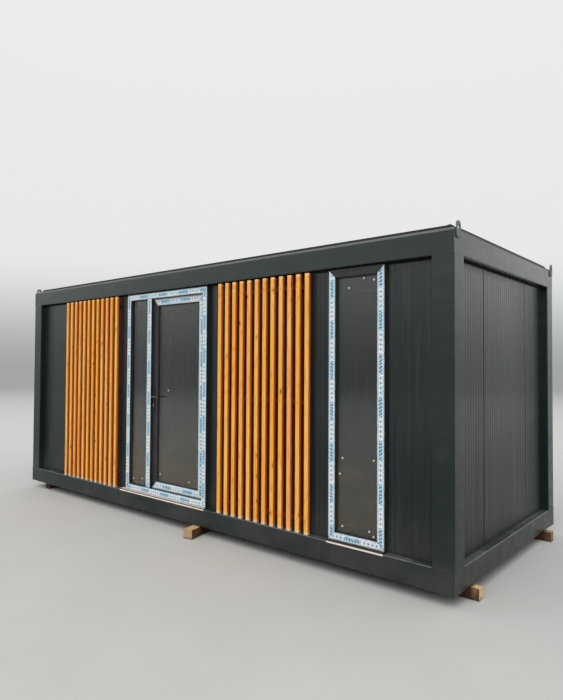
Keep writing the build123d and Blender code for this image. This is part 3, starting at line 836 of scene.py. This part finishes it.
def grow(name, tree, values, edges=()):
    """Runs a tree on a new piece of the cabin and keeps the result as plain mesh."""
    mesh = bpy.data.meshes.new(name)
    places = [p for pair in edges for p in pair]
    mesh.from_pydata(places, [(i, i + 1) for i in range(0, len(places), 2)], [])
    piece = add_object(name, mesh)
    modifier = piece.modifiers.new(name, "NODES")
    modifier.node_group = tree
    keys = {item.name: item.identifier for item in tree.interface.items_tree if item.in_out == "INPUT"}
    for label, value in values.items():
        modifier[keys[label]] = value
    bake(piece)
    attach(piece, "cabin")


screw_rows = screw_tree("screw_rows", (math.radians(90), 0, 0))
upright_screws = screw_tree("upright_screws", (0, 0, 0))
batten_low, batten_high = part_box("slat_battens")
batten_pitch = (batten_high.z - batten_low.z - batten_height) / 2
for side, slats in (("left", left_slats), ("right", right_slats)):
    grow(f"slat_screws_{side}", screw_rows, {
        "Start": (slats[0].x + slat_width / 2, slats[0].y - 0.0006, batten_low.z + batten_height / 2),
        "Columns": slat_count, "Column Step": (slat_pitch(slats), 0, 0),
        "Rows": 3, "Row Step": (0, 0, batten_pitch), "Radius": screw_radius, "Seed": 3, "Material": screw_metal,
    })


# Walls and roof

end_walls = ("end_wall_left", "end_wall_right")
walls = ("front_wall_left", "front_wall_middle", "front_wall_right", "back_wall", *end_walls)


def wall_lines(name):
    """The ends of a wall along its own way, and where its outer and its inner face lie."""
    low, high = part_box(name)
    near, far = (high, low) if name in ("back_wall", "end_wall_right") else (low, high)
    return (low.y, high.y, near.x, far.x) if name in end_walls else (low.x, high.x, near.y, far.y)


def wall_point(name, along, depth, z):
    return (depth, along, z) if name in end_walls else (along, depth, z)


def joints_of(name):
    """Middles of the upright joints between a wall's panels."""
    if name != "back_wall":
        return end_joints if name in end_walls else ()
    low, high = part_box(name)
    pitch = (high.x - low.x + panel_joint) / back_panel_count
    return [low.x - panel_joint / 2 + number * pitch for number in range(1, back_panel_count)]


def ribbed_panel(shape, name, start, stop, outer, inner, low_z, high_z, chamfers):
    """One wall panel: upright grooves in its outer face, its joint edges chamfered."""
    sign = 1 if outer > inner else -1
    profile = [(start, outer - sign * panel_chamfer * chamfers[0])]
    if chamfers[0]:
        profile.append((start + panel_chamfer, outer))
    number = math.ceil((start + panel_chamfer + rib_half_width) / rib_pitch)
    while number * rib_pitch < stop - panel_chamfer - rib_half_width:
        for shift, depth in ((-1.0, 0.0), (-0.45, 1.0), (0.45, 1.0), (1.0, 0.0)):
            profile.append((number * rib_pitch + shift * rib_half_width, outer - sign * depth * rib_depth))
        number += 1
    if chamfers[1]:
        profile.append((stop - panel_chamfer, outer))
    profile.append((stop, outer - sign * panel_chamfer * chamfers[1]))
    columns = [[shape.verts.new(wall_point(name, u, depth, z))
                for depth, z in ((out, low_z), (out, high_z), (inner, high_z), (inner, low_z))]
               for u, out in profile]
    for here, after in zip(columns, columns[1:]):
        join_loops(shape, here, after)
    shape.faces.new(columns[0])
    shape.faces.new(columns[-1])
    mend_normals(shape)


def make_wall_skin(name):
    """One wall with its grooved outer face, panel by panel."""
    low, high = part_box(name)
    start, stop, outer, inner = wall_lines(name)
    edges = [start, *(j + side * panel_joint / 2 for j in joints_of(name) for side in (-1, 1)), stop]

    def build(shape):
        for first in range(0, len(edges), 2):
            chamfers = (int(first > 0), int(first + 2 < len(edges)))
            ribbed_panel(shape, name, edges[first], edges[first + 1], outer, inner, low.z, high.z, chamfers)

    skin = new_piece(f"{name}_skin", build, end_skin if name in end_walls else front_skin)
    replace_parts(skin, name)


def make_roof_laps():
    """Lapped edges of the roof sheets, and the screws that hold them."""
    low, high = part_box("roof_sheet")
    lap_width, lap_rise, lap_pitch, edge_gap, rows = 0.036, 0.0016, 1.0, 0.075, 8
    slab_piece("roof_laps", [
        ((x, low.y + edge_gap, high.z + 0.0001), (x + lap_width, high.y - edge_gap, high.z + lap_rise))
        for x in (number * lap_pitch for number in range(-2, 3))], roof_finish)
    reach = high.y - low.y - 2 * edge_gap - 0.12
    grow("roof_lap_screws", upright_screws, {
        "Start": (-2 * lap_pitch + lap_width / 2, low.y + edge_gap + 0.06, high.z + lap_rise + 0.0006),
        "Columns": 5, "Column Step": (lap_pitch, 0, 0), "Rows": rows, "Row Step": (0, reach / (rows - 1), 0),
        "Radius": screw_radius * 1.3, "Seed": 8, "Material": lug_steel,
    })


def make_seals():
    """A dark strip along the head of every wall, a painted shade for the shadow under the top rails,
    and rubber in the upright joints, set back from both faces.
    """
    depth, height, half, recess = 0.007, 0.015, 0.0008, 0.006
    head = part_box("end_wall_right")[1].z
    shade_strips, seals = [], []
    for name in walls:
        low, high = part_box(name)
        start, stop, outer, inner = wall_lines(name)
        near, far = sorted((outer, outer + math.copysign(depth, outer - inner)))
        shade_strips.append((wall_point(name, start, near, head - height), wall_point(name, stop, far, head - 0.0004)))
        near, far = sorted((outer, inner))
        for joint in joints_of(name):
            seals.append((wall_point(name, joint - half, near + recess, low.z),
                          wall_point(name, joint + half, far - recess, high.z)))
    # The dark head strip is painted shade, where the top rails' undersides lie in shadow
    slab_piece("panel_head_shade_strip", shade_strips, black_sealant)
    slab_piece("panel_joint_seals", seals, gasket_rubber)


# Sawn timber blocks

block_grid = 0.012
block_edge = 0.0022
block_chip = 0.003
saw_mark = 0.0006
# Darkening of each block, for damp and painted shade, from the left end to the right, the door side first in each pair
block_tones = (0.80, 0.70, 0.50, 0.45, 0.0, 0.72)


def worn_block(shape, middle, turn, size, number):
    """One sawn block: saw marks across its sides, edges rounded by wear, deeper in some places."""
    half = size / 2
    layers = shape.verts.layers
    grain_layer, tone_layer, end_layer = (layers.float_vector["block_grain"], layers.float["block_tone"],
                                          layers.float["block_end"])
    rotation = Matrix.Rotation(turn, 3, "Z")
    made = {}

    def corner(point):
        key = tuple(round(value, 6) for value in point)
        if key in made:
            return made[key]
        chip = noise.noise(point * 60 + Vector((number * 7.3, 0, 0)))
        radius = block_edge + block_chip * max(0.0, chip) ** 0.7
        core = Vector([max(-h + radius, min(h - radius, value)) for value, h in zip(point, half)])
        reach = point - core
        worn = core + reach.normalized() * radius if reach.length > 1e-9 else point.copy()
        if abs(point.y) > half.y - 1e-6 and abs(point.z) < half.z - 0.006:
            mark = 0.5 + 0.5 * math.sin(point.x * 520 + 2.5 * noise.noise(point * 18))
            worn.y -= math.copysign(saw_mark * mark, point.y)
        vert = shape.verts.new(middle + rotation @ worn)
        vert[grain_layer] = point + Vector((number * 1.7, number * 0.011, -0.035))
        vert[tone_layer] = block_tones[number]
        vert[end_layer] = float(abs(point.x) > half.x - 1e-6)
        made[key] = vert
        return vert

    def steps(h):
        inner = h - 0.005
        count = max(2, round(2 * inner / block_grid))
        places = [-h, -h + 0.002] + [-inner + 2 * inner * k / count for k in range(count + 1)] + [h - 0.002, h]
        return list(zip(places, places[1:]))

    def place(axis, side, *others):
        """A corner on one side of the block, from its distances along the other two axes."""
        along = [*others]
        along.insert(axis, side * half[axis])
        return corner(Vector(along))

    for axis in range(3):
        first, second = [a for a in range(3) if a != axis]
        for side in (-1, 1):
            for u0, u1 in steps(half[first]):
                for v0, v1 in steps(half[second]):
                    shape.faces.new([place(axis, side, u, v) for u, v in ((u0, v0), (u1, v0), (u1, v1), (u0, v1))])


def block_corners():
    """The corners of each plain block, from the left end to the right."""
    solids = bmesh.new()
    solids.from_mesh(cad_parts["support_blocks"].data)
    bmesh.ops.remove_doubles(solids, verts=solids.verts, dist=0.0001)
    todo, blocks = set(solids.verts), []
    while todo:
        group, front = set(), {todo.pop()}
        while front:
            group |= front
            front = {edge.other_vert(vert) for vert in front for edge in vert.link_edges} - group
        todo -= group
        blocks.append([vert.co.copy() for vert in group])
    solids.free()
    return sorted(blocks, key=lambda points: (round(sum(p.x for p in points), 3), round(sum(p.y for p in points), 3)))


def make_blocks():
    """Sawn timber blocks, each in the place and size of its plain solid."""
    def build(shape):
        layers = shape.verts.layers
        layers.float_vector.new("block_grain")
        layers.float.new("block_tone")
        layers.float.new("block_end")
        for number, points in enumerate(block_corners()):
            middle = sum(points, Vector()) / len(points)
            start, *others = [p for p in points if p.z < middle.z]
            others.sort(key=lambda p: (p - start).length)
            short, long = others[0] - start, others[1] - start
            if long.x < 0 or (abs(long.x) < 1e-4 and long.y < 0):
                long = -long
            size = Vector((long.length, short.length, 2 * middle.z))
            worn_block(shape, middle, math.atan2(long.y, long.x), size, number)
        mend_normals(shape)

    blocks = new_piece("sawn_blocks", build, block_timber)
    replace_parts(blocks, "support_blocks")


make_blocks()
for name in walls:
    make_wall_skin(name)
make_roof_laps()
make_seals()


# Welds


def frame_welds():
    """Lines in the grooves where the posts meet the folded edges of the rails, on the faces that show."""
    inward, past = 0.0025, 0.0032
    lines = []
    for end in ("left", "right"):
        for side in ("front", "back"):
            low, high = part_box(f"corner_post_{side}_{end}")
            x = high.x - inward if end == "right" else low.x + inward
            y = high.y - inward if side == "back" else low.y + inward
            for z in (low.z - past, high.z + past):
                lines += [((low.x, y, z), (high.x, y, z)), ((x, low.y, z), (x, high.y, z))]
    return lines


def lug_welds():
    """Lines down both edges of each lifting lug, against the top rail."""
    lines = []
    for end in ("left", "right"):
        low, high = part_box(f"lifting_lugs_{end}")
        seat = low.x if end == "right" else high.x
        for edge in (low.y, low.y + lug_width, high.y - lug_width, high.y):
            lines.append(((seat, edge, low.z + 0.014), (seat, edge, lug_weld_top)))
    return lines


seam = seam_tree()
for name, radius, lines in (("frame_weld_seams", 0.0048, frame_welds()), ("lug_weld_seams", 0.0026, lug_welds())):
    grow(name, seam, {"Radius": radius, "Step": 0.0035, "Seed": 5, "Material": weld_paint}, lines)


# Lever handle and lock plates

handle_low, handle_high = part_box("door_handle")
lever_z = (handle_low.z + handle_high.z) / 2
lever_radius = 0.0068
neck_radius = 0.0088
cylinder_drop = 0.085
plate_screw_inset = 0.016


def tube(points, radius):
    """A rounded bar along a smooth line."""
    curve = settle(bpy.data.curves.new("tube", "CURVE"), dimensions="3D", bevel_depth=radius, bevel_resolution=4,
                   use_fill_caps=True)
    line = curve.splines.new("NURBS")
    line.points.add(len(points) - 1)
    for point, place in zip(line.points, points):
        point.co = (*place, 1.0)
    settle(line, order_u=3, use_endpoint_u=True, resolution_u=10)
    holder = add_object("tube", curve)
    bpy.context.view_layer.update()
    mesh = plain_mesh(holder)
    bpy.data.objects.remove(holder)
    return mesh


def make_handle():
    """A lever on each side of the leaf and the spindle between them."""
    x, z, spindle = handle_low.x + 0.010, lever_z, 0.004
    # Each point of the lever's line is its way along the wall, out from the leaf, and up
    line = ((0, 0.004, 0), (0, 0.024, 0), (0, 0.037, 0), (0.020, 0.038, 0), (0.060, 0.037, 0.001),
            (0.103, 0.035, -0.001))

    def build(shape):
        for face_y, way in leaf_faces:
            shape.from_mesh(tube([(x + u, face_y + way * out, z + w) for u, out, w in line], lever_radius))
            disc(shape, (x, face_y + way * 0.0105, z), neck_radius, 0.019, 24)
        box_mesh(shape, (x - spindle, leaf_low.y, z - spindle), (x + spindle, leaf_high.y, z + spindle))
        mend_normals(shape)
        for face in shape.faces:
            face.smooth = len(face.verts) == 4

    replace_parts(new_piece("lever_handle", build, lever_metal, "handle"), "door_handle")


def pierced_plate(shape, low, high, base_y, top_y, hole):
    """A plate with rounded corners, an eased front edge and a round hole, which is given as (x, z)."""
    corner, eased, hole_radius = 0.0075, 0.0012, 0.0094

    def arc(x, z, y, radius, angles):
        turns = [math.radians(angle) for angle in angles]
        return [shape.verts.new((x + radius * math.cos(a), y, z + radius * math.sin(a))) for a in turns]

    def outline(inset, y):
        x0, x1, z0, z1 = low.x + corner, high.x - corner, low.z + corner, high.z - corner
        corners = ((x1, z1, 0), (x0, z1, 90), (x0, z0, 180), (x1, z0, 270))
        return [vert for x, z, first in corners
                for vert in arc(x, z, y, corner - inset, range(first, first + 91, 15))]

    def fill(*loops):
        edges = [shape.edges.get((loop[k - 1], loop[k])) for loop in loops for k in range(len(loop))]
        bmesh.ops.triangle_fill(shape, use_beauty=True, edges=edges)

    shoulder_y = top_y + math.copysign(eased, base_y - top_y)
    foot, shoulder, face = outline(0, base_y), outline(0, shoulder_y), outline(eased, top_y)
    hole_foot, hole_face = (arc(*hole, y, hole_radius, range(0, 360, 12)) for y in (base_y, top_y))
    join_loops(shape, foot, shoulder)
    join_loops(shape, shoulder, face)
    join_loops(shape, hole_face, hole_foot)
    fill(face, hole_face)
    fill(foot, hole_foot)


def make_lock_plates():
    low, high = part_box("lock_plates")
    x, cylinder_z = (low.x + high.x) / 2, lever_z - cylinder_drop
    reach = plate_thickness + 0.0045

    def plates(shape):
        for face_y, way in leaf_faces:
            edge = face_y + way * plate_thickness
            pierced_plate(shape, low, high, face_y, edge, (x, lever_z))
            for z in (low.z + plate_screw_inset, high.z - plate_screw_inset):
                disc(shape, (x, edge + way * 0.0006, z), 0.0038, 0.0016, 14)
        mend_normals(shape)

    def cylinders(shape):
        for face_y, way in leaf_faces:
            disc(shape, (x, face_y + way * reach / 2, cylinder_z), 0.0085, reach, 20)
            tail = face_y + way * (reach - 0.0004)
            slab(shape, (x - 0.0045, min(face_y, tail), cylinder_z - 0.020),
                 (x + 0.0045, max(face_y, tail), cylinder_z - 0.004))
        mend_normals(shape)

    keyways = []
    for face_y, way in leaf_faces:
        near, far = sorted(face_y + way * (reach + shift) for shift in (-0.0002, 0.0002))
        keyways.append(((x - 0.0009, near, cylinder_z - 0.0045), (x + 0.0009, far, cylinder_z + 0.0045)))
    plate = new_piece("lock_plate_pair", plates, dark_metal, "door")
    new_piece("lock_cylinders", cylinders, bright_metal, "door")
    slab_piece("keyways", keyways, gasket_rubber, "door")
    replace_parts(plate, "lock_plates")


make_handle()
make_lock_plates()


# Stage, light and camera


def stage_floor():
    """A wide pale floor that fades into the backdrop's tone far from the cabin."""
    f = Finish("stage_floor")
    f.give("Base Color", f.blend(f.cloud(f.place, 1.4, 5), (0.50, 0.495, 0.475), (0.57, 0.565, 0.545)))
    f.give("Roughness", 0.9)
    distance = f.out("VectorMath", {0: f.place}, "Value", operation="LENGTH")
    f.mix_in(distance.ease(7.0, 40.0), f.out("Emission", {"Color": horizon_tone}))
    shape = bmesh.new()
    bmesh.ops.create_circle(shape, cap_ends=True, segments=96, radius=400.0)
    floor = shape_object("stage_floor", shape, f.material)


def studio_light():
    """A soft backdrop, the same for all rays, and one broad light."""
    world = bpy.data.worlds.new("studio")
    world.use_nodes = True
    nodes = Nodes(world.node_tree)
    background = nodes.tree.nodes["Background"].inputs
    height = nodes.split(nodes.out("TexCoord", output="Generated"))[2]
    low_sky = nodes.blend(height.ease(-0.02, 0.19), horizon_tone, (0.80, 0.815, 0.82))
    nodes.feed(background["Color"], nodes.blend(height.ease(0.2, 1.0), low_sky, (0.88, 0.89, 0.90)))
    background["Strength"].default_value = 1.0
    scene.world = world
    sky = settle(bpy.data.lights.new("soft_key", "SUN"), energy=1.35, angle=math.radians(50))
    add_object("soft_key", sky).rotation_euler = (math.radians(44), 0, math.radians(18))


def make_camera():
    """Turned about the upright axis, then tilted up and rolled."""
    camera = settle(bpy.data.cameras.new("camera"), lens=camera_lens, sensor_width=36)
    turn = (Matrix.Rotation(camera_turn, 4, "Z") @ Matrix.Rotation(math.pi / 2 + camera_rise, 4, "X")
            @ Matrix.Rotation(camera_roll, 4, "Z"))
    scene.camera = add_object("camera", camera)
    scene.camera.matrix_world = Matrix.Translation(camera_place) @ turn


stage_floor()
studio_light()
make_camera()
scene.view_settings.view_transform = "Standard"
